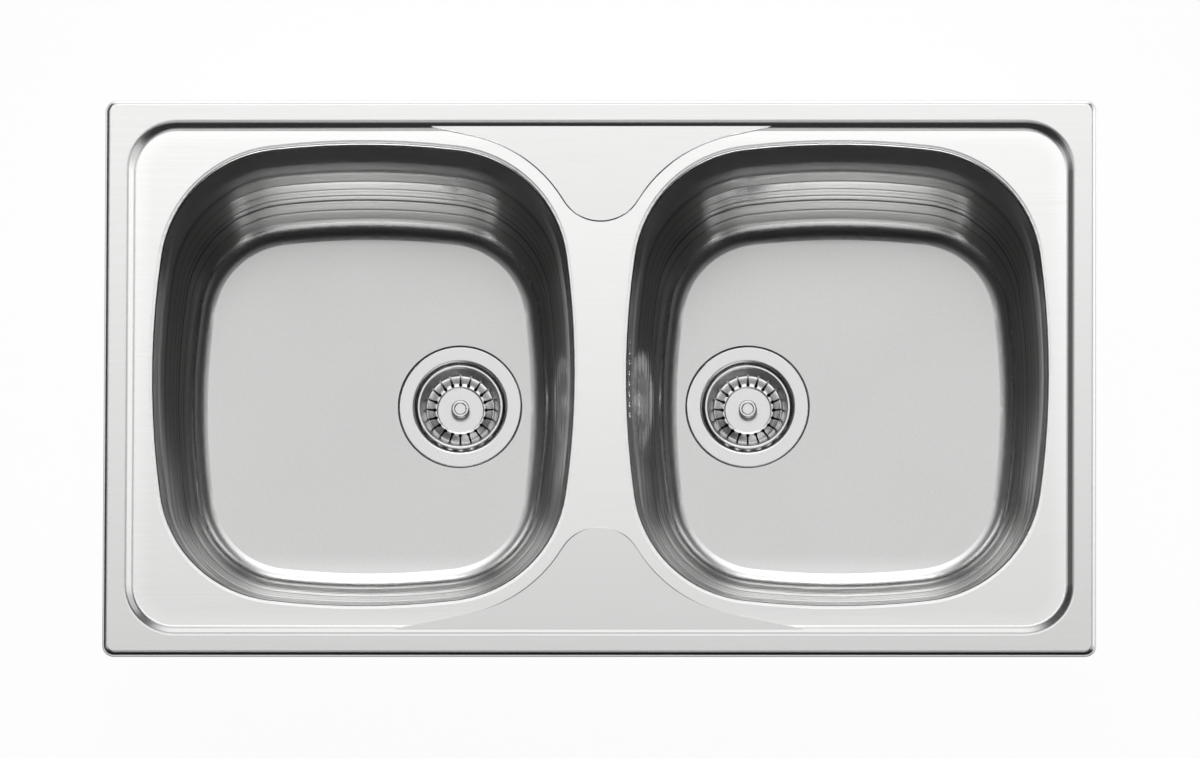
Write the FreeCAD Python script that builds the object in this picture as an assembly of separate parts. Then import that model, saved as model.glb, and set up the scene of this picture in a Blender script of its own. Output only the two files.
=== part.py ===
import FreeCAD, Part
import math
import os

os.makedirs("parts", exist_ok=True)

# Double-bowl inset sink. Millimetres, +X to the right, +Y to the back, +Z up.
# The origin is the centre of the worktop cut-out, on the worktop's top face.

# Pressed deck
overall_x = 860.0
overall_y = 490.0
corner_r = 10.0
sheet = 0.8
rim_height = 6.0
edge_r = 5.0
edge_gap = 0.5
rim_flat = 14.5
step_run = 6.5
step_round = 7.0
recess_corner_r = 36.5
surround_drop = 3.0
island_rise = 1.2
island_run = 1.0
lip_r = 4.0
lip_straight = 4.0

# Worktop
cutout_overlap = 10.0
worktop_thickness = 40.0

# Bowls
bowl_gap = 46.6
bowl_side_margin = 16.7
bowl_front_margin = 19.7
bowl_back_margin = 13.3
bowl_corner_r = 108.0
side_sweep_deg = 7.9
end_sweep_deg = 6.8
bowl_depth = 161.0
side_draft_deg = 10.3
end_draft_deg = 15.8
wall_bow = 0.45
wall_creases = (0.25, 0.51, 0.64, 0.76)
floor_shift = 1.2
bottom_r = 18.0
floor_corner_share = 0.72

# Islands between the bowls
island_gap = 15.0
island_apex_r = 37.0
island_leave_deg = 78.0

# Seal under the rim
seal_width = 5.0

# Clip rails
rail_width = 14.0
rail_height = 7.2
rail_sheet = 1.2
rail_slot = 6.8
rail_bend_r = 1.6
rail_gap = 0.3
long_rail_inset = 54.0
short_rail_inset = 99.0

# Clips
clip_inset = 114.0
bolt_r = 3.0
bolt_length = 71.0
bolt_head_length = 10.6
bolt_head_width = 8.4
bolt_head_height = 2.6
clip_clearance = 0.3
thread_clearance = 0.08
claw_plate = 2.5
claw_width = 13.0
claw_reach = 28.5
claw_heel = 9.0
claw_toe_rise = 9.0
claw_heel_rise = 4.5
claw_bend_r = 2.0
claw_tooth = 1.6
claw_teeth = 4
nut_hub_r = 5.4
nut_hub_height = 6.0
nut_span = 22.0
nut_wing_height = 10.5
nut_wing_thickness = 2.2
nut_wing_round = 1.4

# Wastes
drain_inset = 101.9
waste_hole_r = 44.0
seat_r = 53.9
seat_depth = 3.0
seat_round = 1.0
flange_r = 53.3
flange_sheet = 1.0
flange_gasket_thickness = 1.0
flange_gasket_inner_r = 45.0
flange_gasket_outer_r = 51.4
cup_inner_r = 38.7
cup_mouth_r = 2.0
cup_depth = 26.0
cup_corner_r = 5.0
cup_hole_r = 3.6
cup_hole_ring_r = 16.0
cup_holes = 8
under_gasket_thickness = 2.0
body_flange_r = 56.0
body_flange_thickness = 3.0
body_wall = 2.6
body_straight = 25.0
body_cone_height = 17.0
outlet_r = 23.9
outlet_bore_r = 20.6
outlet_length = 34.0
body_gap = 2.0
boss_r = 7.4
boss_gap = 0.6
boss_height = 18.0
spider_rib = 2.6
spider_height = 9.0
spider_ribs = 4
screw_r = 3.0
screw_length = 24.0
screw_head_r = 4.4
screw_head_height = 4.6
screw_slot = 1.2
insert_across_flats = 9.0
insert_height = 7.0

# Basket strainers
basket_sheet = 0.8
basket_disc_r = 20.0
basket_cone_r = 30.3
basket_cone_height = 5.5
basket_rim_r = 37.1
basket_rim_bead_r = 1.1
basket_height = 18.0
basket_slots = 20
slot_width = 1.6
slot_end_width = 3.2
slot_margin = 1.6
stopper_height = 7.0
stopper_web = 2.0
stopper_lip_r = 28.0
stopper_lip = 1.8
stopper_bore_r = 8.2
catch_r = 7.6
catch_wall = 2.6
catch_fingers = 4
catch_slot = 1.4
catch_height = 6.2
knob_r = 7.9
knob_height = 8.5
knob_head_height = 4.5
knob_neck_r = 4.2
knob_dish_r = 5.4
knob_dish_depth = 0.9
knob_round = 1.2

# Sound-deadening pads
pad_thickness = 2.5
pad_corner_r = 12.0
pad_side_margin = 12.0
pad_end_margin = 56.0
pad_drain_gap = 32.7

# Overflow of the right bowl
overflow_holes = 8
overflow_hole_r = 2.3
overflow_pitch = 9.2
overflow_drop = 24.0
overflow_gasket_thickness = 2.0
overflow_flange_length = 108.0
overflow_flange_height = 23.0
overflow_flange_thickness = 2.0
overflow_corner_r = 6.0
chamber_length = 80.0
chamber_height = 17.0
chamber_depth = 12.0
chamber_wall = 1.8
stud_spacing = 94.0
stud_r = 2.0
stud_length = 9.0
stud_nut_flats = 7.0
stud_nut_height = 3.2
hose_r = 9.2
hose_valley_r = 8.0
hose_bore_r = 7.0
hose_bend_r = 50.0
hose_pitch = 5.0
hose_cuff = 13.0
spigot_clearance = 0.1
spigot_wall = 1.6
clamp_thickness = 0.9
clamp_width = 6.0
clamp_inset = 3.5
clamp_ear = 4.0

# Shared working value
overrun = 1.0

# Levels and places that follow from the sizes
rim_z = rim_height
surround_z = rim_z - surround_drop
island_z = surround_z + island_rise
weld_z = surround_z - lip_r - lip_straight
floor_z = rim_z - bowl_depth
recess_x = overall_x - 2 * (edge_r + rim_flat + step_run)
recess_y = overall_y - 2 * (edge_r + rim_flat + step_run)
bowl_width = (recess_x - bowl_gap) / 2 - bowl_side_margin
bowl_length = recess_y - bowl_front_margin - bowl_back_margin
bowl_x = (bowl_gap + bowl_width) / 2
bowl_shift_y = (bowl_front_margin - bowl_back_margin) / 2
drain_x = bowl_gap / 2 + drain_inset
long_rail = recess_x - 2 * long_rail_inset
short_rail = recess_y - 2 * short_rail_inset
clip_spacing = recess_x / 2 - clip_inset
rail_top_z = surround_z - sheet
rail_x = bowl_x + bowl_width / 2 + lip_r + rail_gap + rail_width / 2
rail_y = bowl_shift_y + bowl_length / 2 + lip_r + rail_gap + rail_width / 2
rail_lip_z = rail_top_z - rail_height + rail_sheet
claw_z = -worktop_thickness - claw_toe_rise - claw_plate
seat_z = floor_z - seat_depth
flange_z = seat_z + flange_gasket_thickness + flange_sheet
cup_floor_z = floor_z - cup_depth
disc_z = cup_floor_z + stopper_height
under_z = seat_z - sheet
body_top_z = under_z - under_gasket_thickness
cup_outer_r = cup_inner_r + flange_sheet
body_bore_r = cup_outer_r + body_gap
body_bottom_z = body_top_z - body_flange_thickness - body_straight
overflow_z = rim_z - overflow_drop
hose_x = bowl_x - bowl_width / 2 - sheet - overflow_gasket_thickness - chamber_depth / 2
port_z = body_bottom_z + hose_r + body_wall


def vec(x, y, z):
    return FreeCAD.Vector(x, y, z)


def cylinder(radius, height, x, y, z, axis=(0, 0, 1)):
    return Part.makeCylinder(radius, height, vec(x, y, z), vec(*axis))


def block(x0, x1, y0, y1, z0, z1):
    return Part.makeBox(x1 - x0, y1 - y0, z1 - z0, vec(x0, y0, z0))


def arc_edge(cx, cy, radius, start, end, z):
    """Arc in a level plane between two directions in degrees."""
    points = []
    for angle in (start, (start + end) / 2, end):
        turn = math.radians(angle)
        points.append(vec(cx + radius * math.cos(turn), cy + radius * math.sin(turn), z))
    return Part.Arc(*points).toShape()


def joined(edges):
    """Closed wire through arcs in order, with straight edges across the gaps between them."""
    chain = []
    for number, edge in enumerate(edges):
        follower = edges[(number + 1) % len(edges)]
        end = edge.valueAt(edge.LastParameter)
        start = follower.valueAt(follower.FirstParameter)
        chain.append(edge)
        if end.distanceToPoint(start) > sheet / 1000:
            chain.append(Part.makeLine(end, start))
    return Part.Wire(chain)


def rounded_wire(length, width, radius, x, y, z):
    """Rounded rectangle centred at x, y."""
    reach_x = length / 2 - radius
    reach_y = width / 2 - radius
    corners = ((1, 1, 0), (-1, 1, 90), (-1, -1, 180), (1, -1, 270))
    return joined(
        [
            arc_edge(x + sx * reach_x, y + sy * reach_y, radius, start, start + 90, z)
            for sx, sy, start in corners
        ]
    )


def rounded_block(length, width, radius, x, y, z0, z1):
    face = Part.Face(rounded_wire(length, width, radius, x, y, z0))
    return face.extrude(vec(0, 0, z1 - z0))


def revolved(points, x, y):
    """Ring or dish turned about an upright axis from a closed (radius, z) outline."""
    outline = [vec(r, 0, z) for r, z in points]
    face = Part.Face(Part.makePolygon(outline + outline[:1]))
    ring = face.revolve(vec(0, 0, 0), vec(0, 0, 1), 360)
    ring.translate(vec(x, y, 0))
    return ring


def turned(edges, x, y):
    """Solid turned about an upright axis from the edges of a closed outline in the XZ plane."""
    face = Part.Face(Part.Wire(Part.__sortEdges__(edges)))
    ring = face.revolve(vec(0, 0, 0), vec(0, 0, 1), 360)
    ring.translate(vec(x, y, 0))
    return ring


def soft_profile(points):
    """Edges of a closed outline in the XZ plane, from (radius, z, rounding) corners."""
    count = len(points)
    starts, ends, arcs = [], [], []
    for number in range(count):
        before, here, after = (points[(number + k) % count] for k in (-1, 0, 1))
        corner = vec(here[0], 0, here[1])
        back = (vec(before[0], 0, before[1]) - corner).normalize()
        ahead = (vec(after[0], 0, after[1]) - corner).normalize()
        rounding = here[2]
        if not rounding:
            starts.append(corner)
            ends.append(corner)
            arcs.append(None)
            continue
        half = back.getAngle(ahead) / 2
        run = rounding / math.tan(half)
        middle = (back + ahead).normalize() * (rounding / math.sin(half) - rounding)
        starts.append(corner + back * run)
        ends.append(corner + ahead * run)
        arcs.append(Part.Arc(starts[-1], corner + middle, ends[-1]).toShape())
    edges = []
    for number in range(count):
        if arcs[number]:
            edges.append(arcs[number])
        follower = starts[(number + 1) % count]
        if ends[number].distanceToPoint(follower) > sheet / 1000:
            edges.append(Part.makeLine(ends[number], follower))
    return edges


def around(shape, count, x, y):
    """Copies of a cutter spaced evenly about an upright axis."""
    copies = []
    for number in range(count):
        copy = shape.copy()
        copy.rotate(vec(x, y, 0), vec(0, 0, 1), 360 * number / count)
        copies.append(copy)
    return copies


def hexagon(flats, height, x, y, z):
    corner = flats / math.sqrt(3)
    points = []
    for number in range(7):
        turn = math.radians(60 * number)
        points.append(vec(x + corner * math.cos(turn), y + corner * math.sin(turn), z))
    return Part.Face(Part.makePolygon(points)).extrude(vec(0, 0, height))


def level_edges(shape, z, keep):
    """Edges that lie in one level plane and whose middle passes a test."""
    found = []
    for edge in shape.Edges:
        box = edge.BoundBox
        if abs(box.ZMin - z) > sheet / 100 or abs(box.ZMax - z) > sheet / 100:
            continue
        middle = edge.valueAt((edge.FirstParameter + edge.LastParameter) / 2)
        if keep(middle):
            found.append(edge)
    return found


# Bowl outline: eight tangent arcs, gently bowed sides and ends joined by round corners.


def bowl_arcs(half_x, half_y, radius, x, y, z):
    side = math.radians(side_sweep_deg)
    end = math.radians(end_sweep_deg)
    a, b = 1 - math.cos(side), math.sin(end)
    c, d = math.sin(side), 1 - math.cos(end)
    free_x = half_x - radius
    free_y = half_y - radius
    scale = a * d - b * c
    side_reach = (free_x * d - b * free_y) / scale
    end_reach = (a * free_y - c * free_x) / scale
    corner_x = half_x - radius - side_reach * a
    corner_y = side_reach * c
    side_r = side_reach + radius
    end_r = end_reach + radius
    centres = (
        (half_x - side_r, 0, side_r, 0, side_sweep_deg),
        (corner_x, corner_y, radius, side_sweep_deg, 90 - end_sweep_deg),
        (0, half_y - end_r, end_r, 90 - end_sweep_deg, 90 + end_sweep_deg),
        (-corner_x, corner_y, radius, 90 + end_sweep_deg, 180 - side_sweep_deg),
        (side_r - half_x, 0, side_r, 180 - side_sweep_deg, 180 + side_sweep_deg),
        (-corner_x, -corner_y, radius, 180 + side_sweep_deg, 270 - end_sweep_deg),
        (0, end_r - half_y, end_r, 270 - end_sweep_deg, 270 + end_sweep_deg),
        (corner_x, -corner_y, radius, 270 + end_sweep_deg, 360 - side_sweep_deg),
        (half_x - side_r, 0, side_r, 360 - side_sweep_deg, 360),
    )
    return [arc_edge(x + cx, y + cy, r, start, stop, z) for cx, cy, r, start, stop in centres]


def bowl_corner():
    """Centre of a bowl's inner back corner, from the bowl's own centre."""
    side = math.radians(side_sweep_deg)
    end = math.radians(end_sweep_deg)
    a, b = 1 - math.cos(side), math.sin(end)
    c, d = math.sin(side), 1 - math.cos(end)
    free_x = bowl_width / 2 - bowl_corner_r
    free_y = bowl_length / 2 - bowl_corner_r
    side_reach = (free_x * d - b * free_y) / (a * d - b * c)
    return free_x - side_reach * a, side_reach * c


def bowed(z):
    """Share of its whole lean that a bowl's wall has taken at one height."""
    share = (weld_z - z) / (weld_z - floor_z)
    return (1 - wall_bow) * share + wall_bow * share ** 2


def wall_slope(z, draft_deg):
    """Tangent of a wall's lean at one height. The draft is its mean lean."""
    share = (weld_z - z) / (weld_z - floor_z)
    return math.tan(math.radians(draft_deg)) * (1 - wall_bow + 2 * wall_bow * share)


def wall_inset(z, draft_deg, skin):
    """How far a wall's skin stands in from the lip at one height."""
    lean = (weld_z - floor_z) * math.tan(math.radians(draft_deg)) * bowed(z)
    return lean - skin * math.hypot(1, wall_slope(z, draft_deg))


def floor_inset(draft_deg):
    """How far the flat floor begins in from the lip, past the wall's lean and the bottom round."""
    foot = math.pi / 2 - math.atan(wall_slope(floor_z, draft_deg))
    return wall_inset(floor_z, draft_deg, 0) + bottom_r * math.tan(foot / 2)


def bowl_section(z, skin, x):
    """Outline of a bowl at one height, for a skin that far outside, without the bottom round."""
    side_inset = wall_inset(z, side_draft_deg, skin)
    end_inset = wall_inset(z, end_draft_deg, skin)
    radius = bowl_corner_r - floor_corner_share * (side_inset + end_inset) / 2
    half_x = bowl_width / 2 - side_inset
    half_y = bowl_length / 2 - end_inset
    middle = x - math.copysign(floor_shift, x) * bowed(z)
    return Part.Wire(bowl_arcs(half_x, half_y, radius, middle, bowl_shift_y, z))


def bowl_form(skin, x):
    """Solid inside a bowl's skin, from the weld line down, without the waste seat."""
    low = floor_z - skin
    levels = [weld_z + share * (low - weld_z) for share in (0, *wall_creases, 1)]
    walls = Part.makeLoft([bowl_section(z, skin, x) for z in levels], True, True)
    form = walls.makeFillet(bottom_r + skin, level_edges(walls, low, lambda p: True))
    return form.Solids[0]


def seat_form(skin, x):
    """Dish in the bowl floor that takes the strainer flange."""
    low = seat_z - skin
    radius = seat_r + skin
    foot = vec(x, bowl_shift_y, low)
    dish = Part.makeCone(radius, radius + seat_depth / 6, seat_depth + sheet, foot)
    return dish.makeFillet(seat_round + skin, level_edges(dish, low, lambda p: True))


def bowl_shell(x, drain):
    outer = bowl_form(sheet, x).fuse(seat_form(sheet, drain))
    inner = bowl_form(0, x)
    shell = outer.cut(inner)
    shell = shell.cut(seat_form(0, drain))
    hole = cylinder(waste_hole_r, seat_depth + 4 * sheet, drain, bowl_shift_y, seat_z - 2 * sheet)
    return shell.cut(hole)


def overflow_offsets():
    middle = (overflow_holes - 1) / 2
    return [(number - middle) * overflow_pitch for number in range(overflow_holes)]


def left_bowl():
    return bowl_shell(-bowl_x, -drain_x)


def right_bowl():
    shell = bowl_shell(bowl_x, drain_x)
    wall_x = bowl_gap / 2
    reach = lip_r + chamber_depth
    holes = [
        cylinder(overflow_hole_r, 2 * reach, wall_x - reach, bowl_shift_y + offset, overflow_z, (1, 0, 0))
        for offset in overflow_offsets()
    ]
    shell = shell.cut(holes)
    start_x = wall_x - overflow_gasket_thickness - overflow_flange_thickness - stud_length
    for side in (-1, 1):
        y = bowl_shift_y + side * stud_spacing / 2
        stud = cylinder(stud_r, stud_length + reach, start_x, y, overflow_z, (1, 0, 0))
        shell = shell.fuse(stud.cut(bowl_form(sheet / 2, bowl_x)))
    return shell


# Deck: rolled rim, stepped recess, raised islands and turned-down bowl lips.


def recess_pocket(skin):
    slope = math.atan2(surround_drop, step_run)
    spread = skin * math.tan(slope / 2)
    top = rim_z - skin
    low = surround_z - skin
    wide = rounded_wire(
        recess_x + 2 * (step_run + spread),
        recess_y + 2 * (step_run + spread),
        recess_corner_r + step_run + spread,
        0,
        0,
        top,
    )
    narrow = rounded_wire(
        recess_x + 2 * spread, recess_y + 2 * spread, recess_corner_r + spread, 0, 0, low
    )
    return Part.makeLoft([wide, narrow], True, True)


def island_wire(growth, side, z):
    """Outline of one island: two hollow flanks round the bowl corners and a round apex."""
    corner_x, corner_y = bowl_corner()
    centre_x = bowl_x - corner_x
    centre_y = bowl_shift_y + side * corner_y
    flank_r = bowl_corner_r + island_gap - growth
    apex_r = island_apex_r + growth
    rise = math.sqrt((flank_r + apex_r) ** 2 - centre_x ** 2)
    apex_y = centre_y + side * rise
    meet = math.degrees(math.atan2(rise, centre_x))
    far_y = side * (recess_y / 2 + step_run / 2)
    leave = math.radians(island_leave_deg)
    run_x = centre_x - flank_r * math.cos(leave)
    run_y = centre_y + side * flank_r * math.sin(leave)
    end_x = run_x + abs(far_y - run_y) * math.tan(leave)

    def flank(sign):
        angles = (island_leave_deg, (island_leave_deg + meet) / 2, meet)
        points = []
        for angle in angles:
            turn = math.radians(angle)
            px = sign * (centre_x - flank_r * math.cos(turn))
            points.append(vec(px, centre_y + side * flank_r * math.sin(turn), z))
        return points

    left, right = flank(-1), flank(1)
    apex = vec(0, apex_y - side * apex_r, z)
    edges = [
        Part.makeLine(vec(-end_x, far_y, z), left[0]),
        Part.Arc(*left).toShape(),
        Part.Arc(left[2], apex, right[2]).toShape(),
        Part.Arc(right[2], right[1], right[0]).toShape(),
        Part.makeLine(right[0], vec(end_x, far_y, z)),
        Part.makeLine(vec(end_x, far_y, z), vec(-end_x, far_y, z)),
    ]
    return Part.Wire(edges)


def island(skin, side):
    shrink = skin * math.tan(math.atan2(island_rise, island_run) / 2)
    low = island_wire(2 * island_run - shrink, side, surround_z - skin - island_rise)
    top = island_wire(-shrink, side, island_z - skin)
    return Part.makeLoft([low, top], True, True)


def deck_form(skin):
    """Everything under one skin of the deck, down past the turned lips."""
    low = weld_z - (overrun if skin else 0)
    form = rounded_block(
        overall_x - 2 * skin, overall_y - 2 * skin, corner_r - skin, 0, 0, low, rim_z - skin
    )
    form = form.makeFillet(edge_r - skin, level_edges(form, rim_z - skin, lambda p: True))
    form = form.cut(recess_pocket(skin))
    inside_x = overall_x / 2 - edge_r - rim_flat / 2
    inside_y = overall_y / 2 - edge_r - rim_flat / 2
    step_edges = level_edges(
        form, rim_z - skin, lambda p: abs(p.x) < inside_x and abs(p.y) < inside_y
    )
    form = form.makeFillet(step_round - skin, step_edges)
    form = form.makeFillet(step_round + skin, level_edges(form, surround_z - skin, lambda p: True))
    half_x = bowl_width / 2
    half_y = bowl_length / 2
    for x in (-bowl_x, bowl_x):
        arcs = bowl_arcs(
            half_x + skin, half_y + skin, bowl_corner_r + skin, x, bowl_shift_y, low - overrun
        )
        hole = Part.Face(Part.Wire(arcs)).extrude(vec(0, 0, rim_z - low + 2 * overrun))
        form = form.cut(hole)

    def beside_bowl(p):
        near_x = abs(abs(p.x) - bowl_x) < half_x + lip_r
        near_y = abs(p.y - bowl_shift_y) < half_y + lip_r
        return near_x and near_y

    form = form.makeFillet(lip_r - skin, level_edges(form, surround_z - skin, beside_bowl))
    for side in (-1, 1):
        form = form.fuse(island(skin, side))
    return form


def deck():
    shell = deck_form(0).cut(deck_form(sheet))
    skirt_x = overall_x / 2 - edge_r - rim_flat
    skirt_y = overall_y / 2 - edge_r - rim_flat
    outer = block(-overall_x, overall_x, -overall_y, overall_y, weld_z - overrun, edge_gap)
    inner = block(-skirt_x, skirt_x, -skirt_y, skirt_y, weld_z - 2 * overrun, edge_gap + overrun)
    return shell.cut(outer.cut(inner))


def rim_seal():
    cutout_x = overall_x - 2 * cutout_overlap
    cutout_y = overall_y - 2 * cutout_overlap
    height = rim_z - sheet
    radius = corner_r - edge_r
    spread = 2 * seal_width
    outer = rounded_block(
        cutout_x + spread, cutout_y + spread, radius + seal_width, 0, 0, 0, height
    )
    inner = rounded_block(cutout_x, cutout_y, radius, 0, 0, -overrun, height + overrun)
    return outer.cut(inner)


# Rails and clips under the rim.


def rail_along_x(length):
    """Lipped channel, slot down, with its back against the plane of the deck's underside."""
    half = rail_width / 2
    outer = block(-length / 2, length / 2, -half, half, rail_top_z - rail_height, rail_top_z)
    long_edges = [e for e in outer.Edges if e.BoundBox.XLength > length / 2]
    outer = outer.makeFillet(rail_bend_r, long_edges)
    room = half - rail_sheet
    gap = rail_slot / 2
    slot_z = rail_top_z - rail_height - overrun
    inner = block(-length, length, -room, room, rail_lip_z, rail_top_z - rail_sheet)
    slot = block(-length, length, -gap, gap, slot_z, rail_lip_z + overrun)
    return outer.cut(inner).cut(slot)


def placed(shape, x, y, turn_deg):
    copy = shape.copy()
    copy.rotate(vec(0, 0, 0), vec(0, 0, 1), turn_deg)
    copy.translate(vec(x, y, 0))
    return copy


def clip_bolt():
    """T-head bolt whose head hangs on the rail's lips."""
    head = cylinder(bolt_head_length / 2, bolt_head_height, 0, 0, rail_lip_z)
    bar = block(
        -bolt_head_length, bolt_head_length, -bolt_head_width / 2, bolt_head_width / 2,
        rail_lip_z - overrun, rail_lip_z + bolt_head_height + overrun,
    )
    shank = cylinder(bolt_r, bolt_length, 0, 0, rail_lip_z - bolt_length)
    end_edges = level_edges(shank, rail_lip_z - bolt_length, lambda p: True)
    shank = shank.makeChamfer(bolt_r / 4, end_edges)
    return head.common(bar).fuse(shank).removeSplitter()


def clip_claw():
    """Bent claw that reaches along +X under the worktop, with a toothed toe."""
    base = claw_z
    inner = base + claw_plate
    outline = (
        (-claw_heel, base, claw_bend_r),
        (claw_reach, base, claw_bend_r),
        (claw_reach, inner + claw_toe_rise, 0),
        (claw_reach - claw_plate, inner + claw_toe_rise, 0),
        (claw_reach - claw_plate, inner, claw_bend_r / 2),
        (claw_plate - claw_heel, inner, claw_bend_r / 2),
        (claw_plate - claw_heel, inner + claw_heel_rise, 0),
        (-claw_heel, inner + claw_heel_rise, 0),
    )
    face = Part.Face(Part.Wire(Part.__sortEdges__(soft_profile(outline))))
    claw = face.extrude(vec(0, claw_width, 0))
    claw.translate(vec(0, -claw_width / 2, 0))
    claw = claw.cut(cylinder(bolt_r + clip_clearance, 3 * claw_plate, 0, 0, base - claw_plate))
    pitch = claw_width / claw_teeth
    tip = inner + claw_toe_rise
    for number in range(claw_teeth - 1):
        y = (number + 1) * pitch - claw_width / 2
        points = [
            vec(claw_reach - 2 * claw_plate, y - pitch / 2 + pitch / 8, tip + overrun / 10),
            vec(claw_reach - 2 * claw_plate, y + pitch / 2 - pitch / 8, tip + overrun / 10),
            vec(claw_reach - 2 * claw_plate, y, tip - claw_tooth),
        ]
        notch = Part.Face(Part.makePolygon(points + points[:1])).extrude(vec(4 * claw_plate, 0, 0))
        claw = claw.cut(notch)
    return claw


def clip_nut():
    """Wing nut under the claw."""
    low = claw_z - nut_hub_height
    hub = Part.makeCone(nut_hub_r - nut_hub_height / 6, nut_hub_r, nut_hub_height, vec(0, 0, low))
    tip = nut_span / 2
    root = nut_hub_r * 2 / 3
    wing = (
        (root, claw_z - nut_hub_height / 3, 0),
        (nut_hub_r, claw_z - nut_hub_height / 3, nut_wing_round),
        (tip, claw_z - nut_hub_height / 2, nut_wing_round),
        (tip, claw_z - nut_wing_height, nut_wing_round),
        (tip - 2 * nut_wing_round, claw_z - nut_wing_height, nut_wing_round),
        (nut_hub_r, low, nut_wing_round / 2),
        (root, low, 0),
    )
    face = Part.Face(Part.Wire(Part.__sortEdges__(soft_profile(wing))))
    plate = face.extrude(vec(0, nut_wing_thickness, 0))
    plate.translate(vec(0, -nut_wing_thickness / 2, 0))
    other = plate.copy()
    other.rotate(vec(0, 0, 0), vec(0, 0, 1), 180)
    nut = hub.fuse([plate, other])
    bore = cylinder(bolt_r + thread_clearance, 2 * nut_wing_height, 0, 0, low - nut_hub_height)
    return nut.cut(bore)


def clip_places():
    """(name, x, y, direction of the claw in degrees) of every clip, folded along its rail."""
    places = []
    for row, y, turn in (("front", -rail_y, 0), ("back", rail_y, 180)):
        for name, x in (("left", -clip_spacing), ("middle", 0), ("right", clip_spacing)):
            places.append((row + "_" + name, x, y, turn))
    places.append(("left_side", -rail_x, 0, -90))
    places.append(("right_side", rail_x, 0, 90))
    return places


# Waste and basket strainer, one set under each bowl.


def strainer_cup(x):
    """Pressed flange and cup that drop through the bowl floor."""
    top = flange_z
    lower = top - flange_sheet
    wall = cup_outer_r
    floor = cup_floor_z
    under = floor - flange_sheet
    outline = (
        (screw_r + clip_clearance, floor, 0),
        (cup_inner_r, floor, cup_corner_r),
        (cup_inner_r, top, cup_mouth_r + flange_sheet),
        (flange_r, top, flange_sheet),
        (flange_r, seat_z + clip_clearance, 0),
        (flange_r - flange_sheet, seat_z + clip_clearance, 0),
        (flange_r - flange_sheet, lower, 0),
        (wall, lower, cup_mouth_r),
        (wall, under, cup_corner_r + flange_sheet),
        (screw_r + clip_clearance, under, 0),
    )
    cup = turned(soft_profile(outline), x, bowl_shift_y)
    hole = cylinder(cup_hole_r, 3 * flange_sheet, x + cup_hole_ring_r, bowl_shift_y, under - flange_sheet)
    return cup.cut(around(hole, cup_holes, x, bowl_shift_y))


def flange_gasket(x):
    low, high = seat_z, seat_z + flange_gasket_thickness
    inner, outer = flange_gasket_inner_r, flange_gasket_outer_r
    return revolved(((inner, low), (outer, low), (outer, high), (inner, high)), x, bowl_shift_y)


def under_gasket(x):
    low, high = body_top_z, under_z
    inner, outer = waste_hole_r + body_gap, body_flange_r
    return revolved(((inner, low), (outer, low), (outer, high), (inner, high)), x, bowl_shift_y)


def waste_outline():
    """Moulded body: clamping flange, chamber, funnel and threaded outlet."""
    top = body_top_z
    bore = body_bore_r
    wall = bore + body_wall
    neck_z = body_bottom_z - body_cone_height
    end_z = neck_z - outlet_length
    return (
        (bore, top, 0),
        (body_flange_r, top, body_flange_thickness / 3),
        (body_flange_r, top - body_flange_thickness, body_flange_thickness / 3),
        (wall, top - body_flange_thickness, body_flange_thickness / 2),
        (wall, body_bottom_z, 2 * body_wall),
        (outlet_r, neck_z, 2 * body_wall),
        (outlet_r, end_z, 0),
        (outlet_bore_r, end_z, 0),
        (outlet_bore_r, neck_z, body_wall),
        (bore, body_bottom_z, 2 * body_wall),
    )


def waste_body(x, ported):
    y = bowl_shift_y
    body = turned(soft_profile(waste_outline()), x, y)
    boss_top = cup_floor_z - flange_sheet - boss_gap
    boss = cylinder(boss_r, boss_height, x, y, boss_top - boss_height)
    rib_low = boss_top - boss_height
    rib = block(x, x + body_bore_r + body_wall / 2, y - spider_rib / 2, y + spider_rib / 2,
                rib_low, rib_low + spider_height)
    keep = revolved(
        (
            (0, body_top_z),
            (body_bore_r + body_wall / 2, body_top_z),
            (body_bore_r + body_wall / 2, body_bottom_z),
            (outlet_r - body_wall / 2, body_bottom_z - body_cone_height),
            (0, body_bottom_z - body_cone_height),
        ),
        x,
        y,
    )
    ribs = [copy.common(keep) for copy in around(rib, spider_ribs, x, y)]
    bore_low = boss_top - 3 * boss_height / 2
    bore = cylinder(screw_r + thread_clearance, 2 * boss_height, x, y, bore_low)
    pocket = hexagon(insert_across_flats, insert_height, x, y, rib_low)
    body = body.fuse([boss] + ribs).cut([bore, pocket])
    if ported:
        body = with_port(body, x, y)
    return body


def with_port(body, x, y):
    """Side inlet that takes the overflow hose, pointing at the middle of the sink."""
    spigot_r = hose_bore_r - spigot_clearance
    start = hose_end_x() + spigot_clearance - hose_cuff
    length = x - body_bore_r - body_wall / 2 - start
    spigot = cylinder(spigot_r, length, start, y, port_z, (1, 0, 0))
    tip = [e for e in spigot.Edges if e.BoundBox.XMax < start + sheet / 10]
    spigot = spigot.makeChamfer(spigot_wall / 3, tip)
    bore = cylinder(spigot_r - spigot_wall, length + 2 * body_wall, start - overrun, y, port_z, (1, 0, 0))
    return body.fuse(spigot).cut(bore)


def screw_insert(x):
    boss_low = cup_floor_z - flange_sheet - boss_gap - boss_height
    y = bowl_shift_y
    nut = hexagon(insert_across_flats - 2 * thread_clearance, insert_height, x, y, boss_low)
    bore_low = boss_low - insert_height
    return nut.cut(cylinder(screw_r + thread_clearance, 3 * insert_height, x, y, bore_low))


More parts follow.
